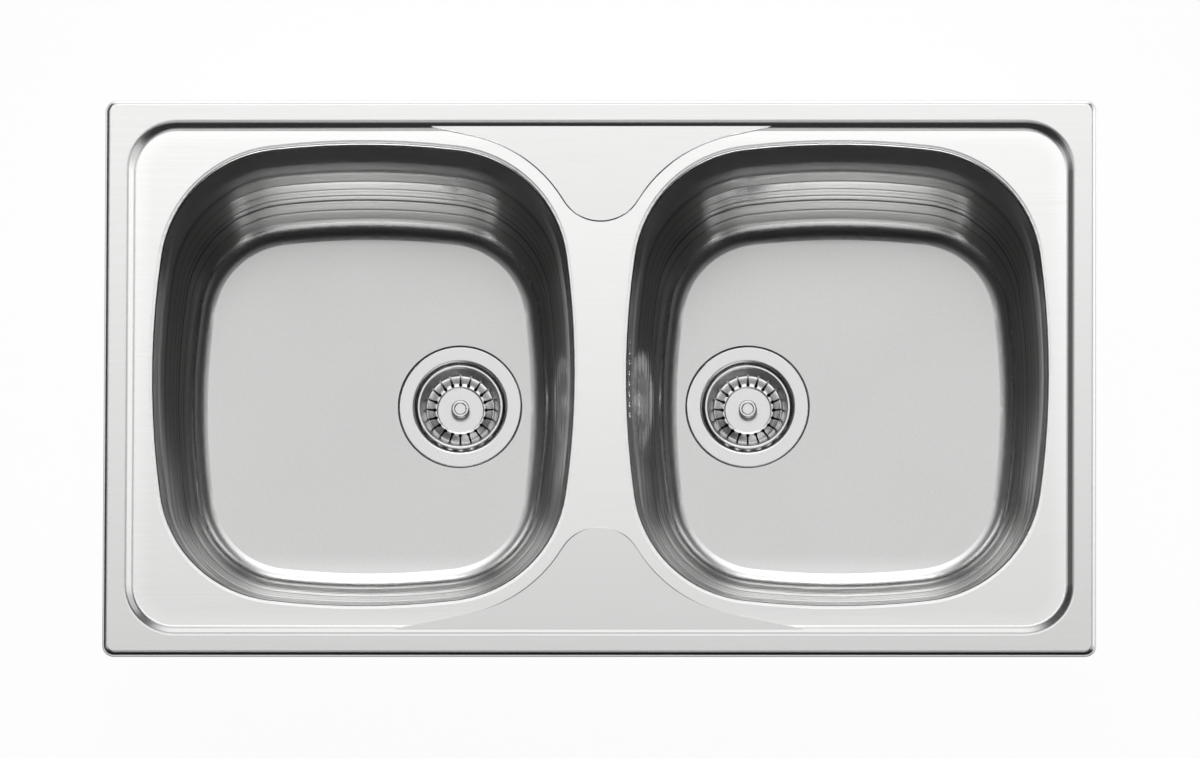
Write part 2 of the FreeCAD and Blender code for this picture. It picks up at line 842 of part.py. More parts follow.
def clamp_screw(x):
    """Slotted pillar screw that pulls the body up against the bowl."""
    y = bowl_shift_y
    head = cylinder(screw_head_r, screw_head_height, x, y, cup_floor_z)
    top = cup_floor_z + screw_head_height
    head = head.makeFillet(screw_head_height / 5, level_edges(head, top, lambda p: True))
    slot = block(x - 2 * screw_head_r, x + 2 * screw_head_r, y - screw_slot / 2, y + screw_slot / 2,
                 top - screw_slot, top + overrun)
    shank = cylinder(screw_r, screw_length, x, y, cup_floor_z - screw_length)
    return head.cut(slot).fuse(shank)


def basket(x):
    """Dished strainer basket with radial slots and a rolled rim."""
    t = basket_sheet
    disc = disc_z
    cone_top = disc + basket_cone_height
    rim = disc + basket_height
    shelf = basket_rim_r - basket_rim_bead_r
    outline = (
        (screw_r, disc, 0),
        (basket_disc_r, disc, 2 * t),
        (basket_cone_r, cone_top, 2 * t),
        (shelf - t, rim - t, t),
        (basket_rim_r, rim - t, 0),
        (basket_rim_r, rim, t / 2),
        (shelf - 2 * t, rim, 2 * t),
        (basket_cone_r - t, cone_top + t / 2, t),
        (basket_disc_r - t / 2, disc + t, t),
        (screw_r, disc + t, 0),
    )
    dish = turned(soft_profile(outline), x, bowl_shift_y)
    first = basket_disc_r + slot_margin
    last = basket_cone_r + slot_margin / 2
    low, high = disc - overrun, cone_top + 4 * t
    y = bowl_shift_y
    slot = block(x + first, x + last, y - slot_width / 2, y + slot_width / 2, low, high)
    foot = cylinder(slot_end_width / 2, high - low, x + first + slot_end_width / 4, y, low)
    return dish.cut(around(slot.fuse(foot), basket_slots, x, bowl_shift_y))


def basket_knob(x):
    """Turned pull knob with a dished top, riveted through the basket."""
    low = disc_z + basket_sheet
    top = low + knob_height
    head = top - knob_head_height
    outline = (
        (0, low, 0),
        (knob_neck_r + knob_round, low, 0),
        (knob_neck_r, low + knob_round, 0),
        (knob_neck_r, head, knob_round),
        (knob_r, head, knob_round),
        (knob_r, top, knob_round),
        (knob_dish_r, top, knob_round / 3),
        (knob_dish_r - knob_dish_depth, top - knob_dish_depth, 0),
        (0, top - knob_dish_depth, 0),
    )
    knob = turned(soft_profile(outline), x, bowl_shift_y)
    grip = basket_sheet + stopper_web
    shank = cylinder(screw_r - thread_clearance, grip, x, bowl_shift_y, low - grip)
    return knob.fuse(shank)


def basket_seal(x):
    """Rubber stopper with a drooping lip that closes on the cup floor."""
    top = disc_z
    web = top - stopper_web
    low = cup_floor_z
    outline = (
        (stopper_bore_r, top, 0),
        (basket_disc_r - 2 * basket_sheet, top, stopper_web / 2),
        (stopper_lip_r, low + stopper_lip, stopper_lip / 3),
        (stopper_lip_r, low, 0),
        (stopper_lip_r - 2 * stopper_lip, low, 0),
        (basket_disc_r - 2 * stopper_web, web, stopper_web),
        (stopper_bore_r, web, 0),
    )
    return turned(soft_profile(outline), x, bowl_shift_y)


def basket_catch(x):
    """Sprung collar under the basket that grips the pillar screw."""
    low = disc_z - catch_height
    web_z = disc_z - stopper_web
    y = bowl_shift_y
    half = catch_slot / 2
    ring = cylinder(catch_r, catch_height, x, y, low)
    hollow = cylinder(catch_r - catch_wall, web_z - low + overrun, x, y, low - overrun)
    bore = cylinder(screw_r, 2 * catch_height, x, y, low)
    slot = block(x, x + 2 * catch_r, y - half, y + half, low - overrun, web_z)
    return ring.cut([hollow, bore]).cut(around(slot, catch_fingers, x, y))


# Pads, overflow and hose.


def sound_pad(side):
    """Pad under the flat floor, between the waste and the outer wall's bottom round."""
    inner = drain_x + body_flange_r + pad_drain_gap
    outer = bowl_x - floor_shift + bowl_width / 2 - floor_inset(side_draft_deg) - pad_side_margin
    length = bowl_length - 2 * (floor_inset(end_draft_deg) + pad_end_margin)
    x = side * (inner + outer) / 2
    top = floor_z - sheet
    return rounded_block(outer - inner, length, pad_corner_r, x, bowl_shift_y, top - pad_thickness, top)


def wall_window(length, height, radius, near, far):
    """Rounded block lying along X, centred on the overflow row."""
    flat = rounded_block(length, height, radius, 0, 0, near, far)
    flat.rotate(vec(0, 0, 0), vec(1, 0, 0), 90)
    flat.rotate(vec(0, 0, 0), vec(0, 0, 1), 90)
    flat.translate(vec(0, bowl_shift_y, overflow_z))
    return flat


def overflow_skin(inner, outer, length, height, radius):
    """Patch of constant thickness that follows the outside of the right bowl's wall."""
    patch = wall_window(length, height, radius, 0, bowl_x - bowl_width / 4)
    return patch.common(bowl_form(outer, bowl_x)).cut(bowl_form(inner, bowl_x))


def stud_holes(clearance):
    holes = []
    for side in (-1, 1):
        y = bowl_shift_y + side * stud_spacing / 2
        holes.append(cylinder(stud_r + clearance, bowl_x, 0, y, overflow_z, (1, 0, 0)))
    return holes


def overflow_gasket():
    outer = sheet + overflow_gasket_thickness
    patch = overflow_skin(
        sheet, outer, overflow_flange_length, overflow_flange_height, overflow_corner_r
    )
    return patch.cut([chamber_hollow(0)] + stud_holes(clip_clearance))


def chamber_hollow(near):
    """Inside of the overflow chamber, from its back plate to the bowl."""
    walls = 2 * chamber_wall
    length = chamber_length - walls
    height = chamber_height - walls
    return wall_window(length, height, overflow_corner_r - walls, near, bowl_x)


def overflow_housing():
    """Shallow moulded chamber with a flange that fits the wall and a spigot below."""
    near = sheet + overflow_gasket_thickness
    far = near + overflow_flange_thickness
    flange = overflow_skin(
        near, far, overflow_flange_length, overflow_flange_height, overflow_corner_r
    )
    back = hose_x - chamber_depth / 2
    radius = overflow_corner_r - chamber_wall
    chamber = wall_window(chamber_length, chamber_height, radius, back, bowl_x)
    chamber = chamber.cut(bowl_form(near, bowl_x))
    hollow = chamber_hollow(back + chamber_wall)
    spigot_r = hose_bore_r - spigot_clearance
    low = hose_start_z() + spigot_clearance - hose_cuff
    y = bowl_shift_y
    middle_z = overflow_z - chamber_height / 2 + chamber_wall / 2
    spigot = cylinder(spigot_r, middle_z - low, hose_x, y, low)
    bore = cylinder(spigot_r - spigot_wall, middle_z - low + chamber_wall, hose_x, y, low - overrun)
    cuff_room = cylinder(hose_valley_r + clip_clearance, hose_cuff, hose_x, y, hose_start_z() - hose_cuff)
    housing = flange.cut(cuff_room).fuse([chamber, spigot])
    return housing.cut([hollow, bore] + stud_holes(clip_clearance))


def stud_nuts():
    near = sheet + overflow_gasket_thickness + overflow_flange_thickness
    wall_x = bowl_x - bowl_width / 2
    nuts = []
    for side in (-1, 1):
        nut = hexagon(stud_nut_flats, stud_nut_height + lip_r, 0, 0, -stud_nut_height)
        nut = nut.cut(cylinder(stud_r + thread_clearance, 4 * stud_nut_height, 0, 0, -2 * stud_nut_height))
        nut.rotate(vec(0, 0, 0), vec(0, 1, 0), 90)
        y = bowl_shift_y + side * stud_spacing / 2
        nut.translate(vec(wall_x - near, y, overflow_z))
        nuts.append(nut.cut(bowl_form(near, bowl_x)))
    return Part.makeCompound(nuts)


def hose_start_z():
    """Top end of the hose, just under the overflow chamber."""
    return overflow_z - chamber_height / 2 - spigot_clearance


def hose_end_x():
    """Inner end of the hose on the waste body's side inlet."""
    return drain_x - body_bore_r - body_wall - spigot_clearance


def hose_route():
    """Stations (x, z, heading in degrees below level) with the distance along the hose."""
    down = hose_start_z() - port_z - hose_bend_r
    bend = hose_bend_r * math.pi / 2
    across = hose_end_x() - hose_x - hose_bend_r
    return down, bend, across


def hose_station(distance):
    down, bend, across = hose_route()
    top = hose_start_z()
    if distance <= down:
        return hose_x, top - distance, 90
    if distance <= down + bend:
        turn = (distance - down) / hose_bend_r
        x = hose_x + hose_bend_r * (1 - math.cos(turn))
        z = top - down - hose_bend_r * math.sin(turn)
        return x, z, 90 - math.degrees(turn)
    return hose_x + hose_bend_r + distance - down - bend, port_z, 0


def hose_ring(distance, radius):
    """Circle across the hose, with its own X axis kept along the sink's Y axis."""
    x, z, heading = hose_station(distance)
    turn = math.radians(heading)
    axis = vec(math.cos(turn), 0, -math.sin(turn))
    circle = Part.Circle(vec(x, bowl_shift_y, z), axis, radius)
    circle.XAxis = vec(0, 1, 0)
    return Part.Wire(circle.toShape())


def hose_length():
    return sum(hose_route())


def overflow_hose():
    """Ribbed hose: plain cuffs, then ribs of four circles each."""
    length = hose_length()
    ribbed = length - 2 * hose_cuff
    ribs = int(ribbed / hose_pitch)
    pitch = ribbed / ribs
    rings = [hose_ring(0, hose_valley_r)]
    rib_shares = ((0.2, 0), (0.4, 1), (0.6, 1), (0.8, 0))
    for number in range(ribs):
        start = hose_cuff + number * pitch
        for share, crest in rib_shares:
            radius = hose_r if crest else hose_valley_r
            rings.append(hose_ring(start + share * pitch, radius))
    rings.append(hose_ring(length, hose_valley_r))
    outside = Part.makeLoft(rings, True, True)
    return outside.cut(hose_bore())


def hose_bore():
    down, bend, across = hose_route()
    y = bowl_shift_y
    top = hose_start_z()
    first = cylinder(hose_bore_r, down + overrun, hose_x, y, top - down)
    last = cylinder(hose_bore_r, across + overrun, hose_x + hose_bend_r, y, port_z, (1, 0, 0))
    elbow = Part.makeTorus(
        hose_bend_r, hose_bore_r, vec(hose_x + hose_bend_r, y, top - down), vec(0, 1, 0)
    )
    room = 2 * hose_r
    quarter = block(
        hose_x - room, hose_x + hose_bend_r, y - room, y + room, port_z - room, top - down
    )
    return first.fuse([last, elbow.common(quarter)])


def clamp_at(distance):
    x, z, heading = hose_station(distance)
    turn = math.radians(heading)
    axis = (math.cos(turn), 0, -math.sin(turn))
    y = bowl_shift_y
    back = clamp_width / 2
    start = (x - axis[0] * back, y, z - axis[2] * back)
    before = (x - axis[0] * clamp_width, y, z - axis[2] * clamp_width)
    inner_r = hose_valley_r
    band = cylinder(inner_r + clamp_thickness, clamp_width, *start, axis)
    ear_reach = inner_r + clamp_thickness + clamp_ear
    ear = Part.makeBox(
        2 * clamp_thickness, ear_reach, clamp_width, vec(-clamp_thickness, -ear_reach, 0)
    )
    ear.rotate(vec(0, 0, 0), vec(0, 1, 0), 90 + heading)
    ear.translate(vec(*start))
    return band.fuse(ear).cut(cylinder(inner_r, 2 * clamp_width, *before, axis))


def hose_clamps():
    length = hose_length()
    places = (clamp_inset + clamp_width / 2, length - clamp_inset - clamp_width / 2)
    return Part.makeCompound([clamp_at(place) for place in places])


def build():
    pieces = {
        "deck": deck(),
        "left_bowl": left_bowl(),
        "right_bowl": right_bowl(),
        "rim_seal": rim_seal(),
        "front_rail": placed(rail_along_x(long_rail), 0, -rail_y, 0),
        "back_rail": placed(rail_along_x(long_rail), 0, rail_y, 0),
        "left_rail": placed(rail_along_x(short_rail), -rail_x, 0, 90),
        "right_rail": placed(rail_along_x(short_rail), rail_x, 0, 90),
        "left_sound_pad": sound_pad(-1),
        "right_sound_pad": sound_pad(1),
        "overflow_gasket": overflow_gasket(),
        "overflow_housing": overflow_housing(),
        "overflow_nuts": stud_nuts(),
        "overflow_hose": overflow_hose(),
        "hose_clamps": hose_clamps(),
    }
    for name, side in (("left", -1), ("right", 1)):
        x = side * drain_x
        pieces[name + "_strainer_cup"] = strainer_cup(x)
        pieces[name + "_flange_gasket"] = flange_gasket(x)
        pieces[name + "_under_gasket"] = under_gasket(x)
        pieces[name + "_waste_body"] = waste_body(x, side > 0)
        pieces[name + "_clamp_screw"] = clamp_screw(x)
        pieces[name + "_screw_insert"] = screw_insert(x)
        pieces[name + "_basket"] = basket(x)
        pieces[name + "_basket_knob"] = basket_knob(x)
        pieces[name + "_basket_seal"] = basket_seal(x)
        pieces[name + "_basket_catch"] = basket_catch(x)
    bolt, claw, nut = clip_bolt(), clip_claw(), clip_nut()
    for name, x, y, turn in clip_places():
        pieces[name + "_clip_bolt"] = placed(bolt, x, y, turn)
        pieces[name + "_clip_claw"] = placed(claw, x, y, turn)
        pieces[name + "_clip_nut"] = placed(nut, x, y, turn)
    return pieces


pieces = build()
for name, piece in pieces.items():
    if not piece.isValid():
        print("not valid:", name)
    piece.exportStep("parts/" + name + ".step")
print("pieces:", len(pieces), "hose length:", round(hose_length(), 1), "bend radius:", hose_bend_r)
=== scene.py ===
"""Looks for a stainless steel inset sink with two bowls: finishes, a plain stage and the camera."""

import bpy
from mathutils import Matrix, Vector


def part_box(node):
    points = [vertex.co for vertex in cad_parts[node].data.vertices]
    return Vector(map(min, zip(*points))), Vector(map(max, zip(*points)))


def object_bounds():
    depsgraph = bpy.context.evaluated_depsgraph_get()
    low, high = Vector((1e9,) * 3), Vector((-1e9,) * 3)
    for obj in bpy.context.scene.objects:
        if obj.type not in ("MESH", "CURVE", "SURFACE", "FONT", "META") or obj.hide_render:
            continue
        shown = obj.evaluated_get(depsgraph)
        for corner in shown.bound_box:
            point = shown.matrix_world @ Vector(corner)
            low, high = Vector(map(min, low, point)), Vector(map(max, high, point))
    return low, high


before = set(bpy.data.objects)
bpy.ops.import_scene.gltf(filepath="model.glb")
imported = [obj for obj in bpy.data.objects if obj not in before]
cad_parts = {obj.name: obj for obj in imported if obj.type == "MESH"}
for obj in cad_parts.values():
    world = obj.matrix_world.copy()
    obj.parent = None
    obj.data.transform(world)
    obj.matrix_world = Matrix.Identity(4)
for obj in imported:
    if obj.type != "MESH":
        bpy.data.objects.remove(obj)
CAD_BOX = [list(corner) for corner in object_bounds()]

import math

import bpy
from bpy.props import FloatProperty, FloatVectorProperty, PointerProperty
from mathutils import Matrix, Vector

bl_info = {
    "name": "Inset sink",
    "version": (1, 0, 0),
    "blender": (4, 5, 0),
    "location": "View3D > Sidebar > Sink",
    "description": "Finishes, stage and camera for a stainless steel sink with two bowls",
    "category": "Object",
}

# Soft lights all round: degrees from straight up, bearing from +X towards +Y, half width, strength
SOFT_LIGHTS = (
    (12.0, 90.0, 11.0, 0.32),
    (25.0, 90.0, 13.0, 1.25),
    (25.0, 135.0, 13.0, 0.32),
    (84.0, 0.0, 22.0, 0.43),
    (84.0, 45.0, 22.0, 0.60),
    (84.0, 90.0, 22.0, 1.70),
    (84.0, 135.0, 22.0, 0.30),
)

# Where a soft light has faded out and where it is full, in half widths from its middle
SOFT_EDGE = (1.5, 0.4)
SKY_LEVEL = 0.02

# Lamps that light one group of pieces: the group, then the same four numbers
SOFT_LAMPS = (
    ("deck", 12.0, 90.0, 12.0, 0.24),
    ("deck", 12.0, 0.0, 12.0, 0.10),
    ("deck", 20.0, 35.0, 9.0, 0.80),
    ("deck", 20.0, 145.0, 9.0, 0.70),
    ("deck", 10.0, 270.0, 9.0, 0.70),
    ("deck", 21.0, 270.0, 6.0, 0.45),
    ("deck", 36.0, 180.0, 13.0, 0.65),
    ("deck", 42.0, 0.0, 17.5, 0.85),
    ("deck", 62.0, 25.0, 21.0, 0.80),
    ("deck", 50.0, 90.0, 16.0, 0.40),
    ("deck", 62.0, 90.0, 20.0, 0.40),
    ("deck", 84.0, 0.0, 24.0, 0.80),
    ("bowls", 25.0, 90.0, 14.3, 0.94),
    ("bowls", 46.0, 90.0, 15.0, 0.95),
    ("bowls", 84.0, 45.0, 24.0, 2.50),
    ("bowls", 84.0, 90.0, 24.0, 4.40),
    ("bowls", 84.0, 135.0, 24.0, 3.60),
    ("strainers", 12.0, 270.0, 10.0, 0.90),
    ("strainers", 40.0, 300.0, 20.0, 1.20),
    ("strainers", 44.0, 180.0, 18.0, 0.25),
    ("strainers", 44.0, 0.0, 18.0, 0.50),
    ("strainers", 50.0, 90.0, 20.0, 0.60),
)

# Endings of the names of the pieces in each group
STRAINER_PIECES = ("_strainer_cup", "_basket", "_basket_knob", "_clamp_screw")
LIT_GROUPS = {
    "deck": ("deck",),
    "bowls": ("_bowl", *STRAINER_PIECES),
    "strainers": STRAINER_PIECES,
    "knobs": ("_basket_knob",),
}

# Lamps whose light is blocked by one group only: the lamps' group, then the blocking group
BLOCKERS = {"strainers": "knobs"}

# Places of the pressed shapes, in metres, as the frame has them
BOWL_FLOOR = -0.155
DECK_LOW = 0.0030
DECK_RAISED = 0.0040
RECESS_X = 0.404
RECESS_Y = 0.219
RECESS_ROUND = 0.0365
CUP_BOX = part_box("right_strainer_cup")
DRAIN_X = (CUP_BOX[0].x + CUP_BOX[1].x) / 2
DRAIN_Y = (CUP_BOX[0].y + CUP_BOX[1].y) / 2
LOWEST = CAD_BOX[0][2]

# Soft steps of the deck: start and end, in metres, then the levels before and after
RAISED_STEP = (DECK_LOW, DECK_RAISED, 0.0, 1.0)
# Painted light: a lighter band inside the recess along its edge
RECESS_EDGE_PAINTED_LIGHT_STEP = (0.0, 0.018, 1.0, 0.0)
# Painted shade: the lip darkens where it turns down below the deck
LIP_PAINTED_SHADE_STEP = (DECK_LOW - 0.0022, DECK_LOW - 0.0010, 0.35, 1.0)
LIP_HEIGHT_STEP = (DECK_LOW - 0.0011, DECK_LOW, 0.0008, 0.0)

# Painted light on the deck: its brightness on its middle line, what it gains a metre to the back,
# and its painted highlight along the recess's edge
DECK_PAINTED_LIGHT_MIDDLE = 0.985
DECK_PAINTED_LIGHT_GRADE = 0.52
RECESS_EDGE_PAINTED_LIGHT = 0.07

# Waves of the deck's grain in a metre, along X, Y and Z
DECK_GRAIN = (14.0, 900.0, 900.0)

# Soft steps of the bowls, by height and by the distance to the back
WALL_STEP = (BOWL_FLOOR + 0.001, BOWL_FLOOR + 0.010, 0.0, 1.0)
# Painted light: the upper wall is lighter than the lower
UPPER_WALL_PAINTED_LIGHT_STEP = (-0.066, -0.046, 0.98, 1.20)
# Painted shade: the foot of the back wall and the floor's back edge are darker
BACK_FOOT_PAINTED_SHADE_STEP = (0.145, 0.153, 0.0, 1.0)
WALL_FOOT_PAINTED_SHADE_STEP = (-0.150, -0.145, 0.25, 0.0)
# Painted light: the floor is lighter along its front edge
FRONT_FLOOR_PAINTED_LIGHT_STEP = (-0.152, -0.124, 0.24, 0.0)
BELLY_HEIGHT_STEP = (-0.168, -0.028, 0.0190, 0.0)
BELLY_SHARE_STEP = (-0.12, 0.02, 0.0, 1.0)

# The bowls' brightness: the painted light that the walls gain, the painted shade that a ring's
# colour gains per metre of its height, and the whole spread of the fine grain
WALL_PAINTED_LIGHT = 0.30
RING_PAINTED_SHADE = 3000.0
FINE_SPREAD = 0.16

# How far the rings wander up and down round a bowl, in metres
RING_WANDER = 0.003

# The strainers: the cone's height by its distance from the waste's axis, and the turning
# circles in a metre
CONE_STEP = (0.0195, 0.0310, 0.009, 0.0)
TURNING_CIRCLES = 1400.0

# The floor: its reach, how bright it looks to the camera, and how much of its look that is
FLOOR_REACH = 40.0
FLOOR_GLOW = 1.12
FLOOR_GLOW_SHARE = 0.85
WHITE = (1.0, 1.0, 1.0, 1.0)

# The camera: sensor width in millimetres, and the nearest and farthest that it sees in metres
SENSOR_WIDTH = 36.0
NEAREST = 1.0
FARTHEST = 1000.0


class Wire:
    """An output socket in a shader tree. Python's operators on it add Math nodes."""

    def __init__(self, shader, socket):
        self.shader = shader
        self.socket = socket

    def calc(self, operation, *values):
        """A Math node on values that are wires or numbers."""
        return self.shader.add("Math", {"operation": operation}, dict(enumerate(values)))

    def __add__(self, other):
        return self.calc("ADD", self, other)

    def __radd__(self, other):
        return self.calc("ADD", other, self)

    def __sub__(self, other):
        return self.calc("SUBTRACT", self, other)

    def __rsub__(self, other):
        return self.calc("SUBTRACT", other, self)

    def __mul__(self, other):
        return self.calc("MULTIPLY", self, other)

    def __rmul__(self, other):
        return self.calc("MULTIPLY", other, self)

    def __truediv__(self, other):
        return self.calc("DIVIDE", self, other)

    def __pow__(self, other):
        return self.calc("POWER", self, other)

    def __rpow__(self, other):
        return self.calc("POWER", other, self)

    def __abs__(self):
        return self.calc("ABSOLUTE", self)

    def at_least(self, level):
        """The value, or the level where that is higher."""
        return self.calc("MAXIMUM", self, level)


class Shader:
    """The node tree of a material or of the world, filled from Python."""

    def __init__(self, owner):
        owner.use_nodes = True
        self.tree = owner.node_tree
        self.tree.nodes.clear()

    def add(self, kind, settings=None, sockets=None, out=0):
        """Adds a node, with its settings first and then the values or links of its sockets."""
        node = self.tree.nodes.new("ShaderNode" + kind)
        for name, value in (settings or {}).items():
            setattr(node, name, value)
        for name, value in (sockets or {}).items():
            if isinstance(value, Wire):
                self.tree.links.new(value.socket, node.inputs[name])
            else:
                node.inputs[name].default_value = value
        return Wire(self, node.outputs[out]) if node.outputs else None

    def parts(self, vector, axes="XYZ"):
        """The parts of a vector along these axes."""
        return [self.add("SeparateXYZ", sockets={"Vector": vector}, out=axis) for axis in axes]

    def point(self):
        """The place on the piece, in the frame's metres."""
        return self.add("TexCoord", out="Object")

    def scaled(self, vector, scale):
        """The vector with each of its parts multiplied by its own factor."""
        return self.add("VectorMath", {"operation": "MULTIPLY"}, {0: vector, 1: scale})

    def noise(self, vector, scale=1.0, detail=2.0):
        """Smooth noise from 0 to 1, with about that many waves a metre."""
        return self.add("TexNoise", sockets={"Vector": vector, "Scale": scale, "Detail": detail})

    def smooth(self, value, low, high, from_level=0.0, to_level=1.0):
        """A soft step of the value from one level to another."""
        sockets = {0: value, 1: low, 2: high, 3: from_level, 4: to_level}
        return self.add("MapRange", {"interpolation_type": "SMOOTHSTEP"}, sockets)

    def blend(self, factor, first, second):
        """A colour between two."""
        return self.add("Mix", {"data_type": "RGBA"}, {0: factor, 6: first, 7: second}, out=2)

    def clouded(self, cloud, colour, darkest, lightest):
        """The colour between two shades of it, as a noise goes."""
        return self.blend(cloud, shade(colour, darkest), shade(colour, lightest))

    def tinted(self, colour, factor):
        """The colour made lighter or darker by a factor."""
        return self.add("VectorMath", {"operation": "SCALE"}, {0: colour, 3: factor})

    def bump(self, height, distance, under=None, strength=1.0):
        """The normal over a height field, whose height 1 stands that many metres proud."""
        sockets = {"Height": height, "Distance": distance, "Strength": strength}
        if under is not None:
            sockets["Normal"] = under
        return self.add("Bump", sockets=sockets)

    def output(self, surface, kind="OutputMaterial"):
        """Ends the tree in this surface."""
        self.add(kind, sockets={"Surface": surface})


def shade(colour, factor):
    """The colour darkened or lightened, as a socket's value."""
    return tuple(min(1.0, channel * factor) for channel in colour[:3]) + (1.0,)


def spread(level, *noises):
    """The level moved up and down by noises, each given with the whole width of its spread."""
    for noise, width in noises:
        level = level + (noise - 0.5) * width
    return level


def new_finish(name):
    """A new material and its empty tree."""
    material = bpy.data.materials.new(name)
    return material, Shader(material)


def principled(shader, colour, roughness, metallic, normal):
    """Ends the tree in one Principled surface."""
    sockets = {
        "Base Color": colour,
        "Roughness": roughness,
        "Metallic": metallic,
        "Normal": normal,
    }
    shader.output(shader.add("BsdfPrincipled", sockets=sockets))


def waste_distance(shader, point):
    """Distance from the upright axis of the nearer waste."""
    x, y = shader.parts(point, "XY")
    return ((abs(x) - DRAIN_X) ** 2 + (y - DRAIN_Y) ** 2) ** 0.5


def recess_depth(x, y):
    """How far a point lies inside the recess's outline, up to the outline's corner radius."""
    across = (abs(x) - (RECESS_X - RECESS_ROUND)).at_least(0.0)
    along = (abs(y) - (RECESS_Y - RECESS_ROUND)).at_least(0.0)
    return RECESS_ROUND - (across ** 2 + along ** 2) ** 0.5


def deck_steel(look):
    """Satin sheet with a fine grain along the sink's length, with painted light that makes it
    lighter in the recess, towards the back and along the recess's edge, and painted shade on the
    lip.
    """
    material, shader = new_finish("deck_satin_steel")
    point = shader.point()
    x, y, z = shader.parts(point)
    grain = shader.noise(shader.scaled(point, DECK_GRAIN), detail=3.0)
    cloud = shader.noise(point, scale=5.0)

    raised = shader.smooth(z, *RAISED_STEP)
    # Painted light along the recess's edge
    edge_painted_light = shader.smooth(recess_depth(x, y), *RECESS_EDGE_PAINTED_LIGHT_STEP)
    # Painted light: the deck grows lighter towards the back and along the recess's edge
    tone = (y * DECK_PAINTED_LIGHT_GRADE + DECK_PAINTED_LIGHT_MIDDLE) * (edge_painted_light * (1.0 - raised) * RECESS_EDGE_PAINTED_LIGHT + 1.0)
    # Painted light: the recess is a lighter copy of the same steel than the raised parts
    low = shader.clouded(cloud, look.deck_colour, darkest=1.07, lightest=1.10)
    high = shader.clouded(cloud, look.deck_colour, darkest=0.985, lightest=1.015)
    colour = shader.tinted(shader.blend(raised, low, high), tone)
    # Painted shade on the lip below the deck
    colour = shader.tinted(colour, shader.smooth(z, *LIP_PAINTED_SHADE_STEP))

    roughness = spread(look.deck_roughness, (grain, 0.08), (cloud, 0.03))
    lip = shader.bump(shader.smooth(z, *LIP_HEIGHT_STEP), distance=1.0)
    normal = shader.bump(grain, distance=4e-6, under=lip)
    principled(shader, colour, roughness, metallic=1.0, normal=normal)
    return material


def bowl_steel(look):
    """Deep-drawn sheet: satin floor, smoother walls with the rings that the press leaves; painted
    light makes the walls, the upper wall and the floor's front edge lighter, and painted shade
    darkens the rings and the foot of the back wall.
    """
    material, shader = new_finish("bowl_drawn_steel")
    point = shader.point()
    y, z = shader.parts(point, "YZ")
    fine = shader.noise(point, scale=900.0)
    cloud = shader.noise(point, scale=9.0, detail=3.0)

    wander = (shader.noise(point, scale=7.0, detail=1.0) - 0.5) * RING_WANDER
    height = 0.0
    for level, width, depth in look.ring_table():
        offset = (z + wander - level) / width
        height = height - depth * math.e ** (offset * offset * -1.0)

    wall = shader.smooth(z, *WALL_STEP)
    roughness = look.floor_roughness + wall * (look.wall_roughness - look.floor_roughness)
    roughness = spread(roughness, (fine, 0.06), (cloud, 0.05))

    # Painted shade at the foot of the back wall
    back_foot_painted_shade = shader.smooth(y, *BACK_FOOT_PAINTED_SHADE_STEP) * shader.smooth(z, *WALL_FOOT_PAINTED_SHADE_STEP)
    # Painted light on the floor's front edge
    front_floor_painted_light = shader.smooth(y, *FRONT_FLOOR_PAINTED_LIGHT_STEP) * (1.0 - wall)
    # Painted light: the walls are lighter than the floor, and the upper wall lighter still
    tone = (wall * WALL_PAINTED_LIGHT + 1.0) * shader.smooth(z, *UPPER_WALL_PAINTED_LIGHT_STEP)
    # Painted shade darkens the colour along the rings; painted light on the front floor and painted
    # shade at the back wall's foot
    tone = tone * (height * RING_PAINTED_SHADE + 1.0) * (front_floor_painted_light + 1.0) * (1.0 - back_foot_painted_shade)
    tone = tone * (fine * FINE_SPREAD + (1.0 - FINE_SPREAD / 2))
    colour = shader.clouded(cloud, look.bowl_colour, darkest=0.97, lightest=1.02)
    colour = shader.tinted(colour, tone)

    share = shader.smooth(y, *BELLY_SHARE_STEP)
    belly = shader.bump(shader.smooth(z, *BELLY_HEIGHT_STEP), distance=1.0, strength=share)
    rings = shader.bump(height * wall, distance=1.0, under=belly)
    normal = shader.bump(fine, distance=5e-6, under=rings)
    principled(shader, colour, roughness, metallic=1.0, normal=normal)
    return material


def turned_steel(look):
    """Polished pressed steel with the faint circles of its turning."""
    material, shader = new_finish("strainer_turned_steel")
    point = shader.point()
    radius = waste_distance(shader, point)
    outward = shader.add("CombineXYZ", sockets={"X": radius * TURNING_CIRCLES})
    circles = shader.noise(outward)
    cloud = shader.noise(point, scale=30.0)
    colour = shader.clouded(cloud, look.polished_colour, darkest=0.97, lightest=1.02)
    roughness = spread(look.polished_roughness, (circles, 0.08), (cloud, 0.04))
    cone = shader.bump(shader.smooth(radius, *CONE_STEP), distance=1.0)
    normal = shader.bump(circles, distance=6e-6, under=cone)
    principled(shader, colour, roughness, metallic=1.0, normal=normal)
    return material


def plated_steel(look):
    """Zinc-plated steel, slightly clouded."""
    material, shader = new_finish("clip_plated_steel")
    point = shader.point()
    cloud = shader.noise(point, scale=120.0, detail=4.0)
    grain = shader.noise(point, scale=900.0)
    colour = shader.clouded(cloud, look.plated_colour, darkest=0.88, lightest=1.06)
    roughness = spread(look.plated_roughness, (cloud, 0.16))
    normal = shader.bump(grain, distance=1.2e-5)
    principled(shader, colour, roughness, metallic=1.0, normal=normal)
    return material


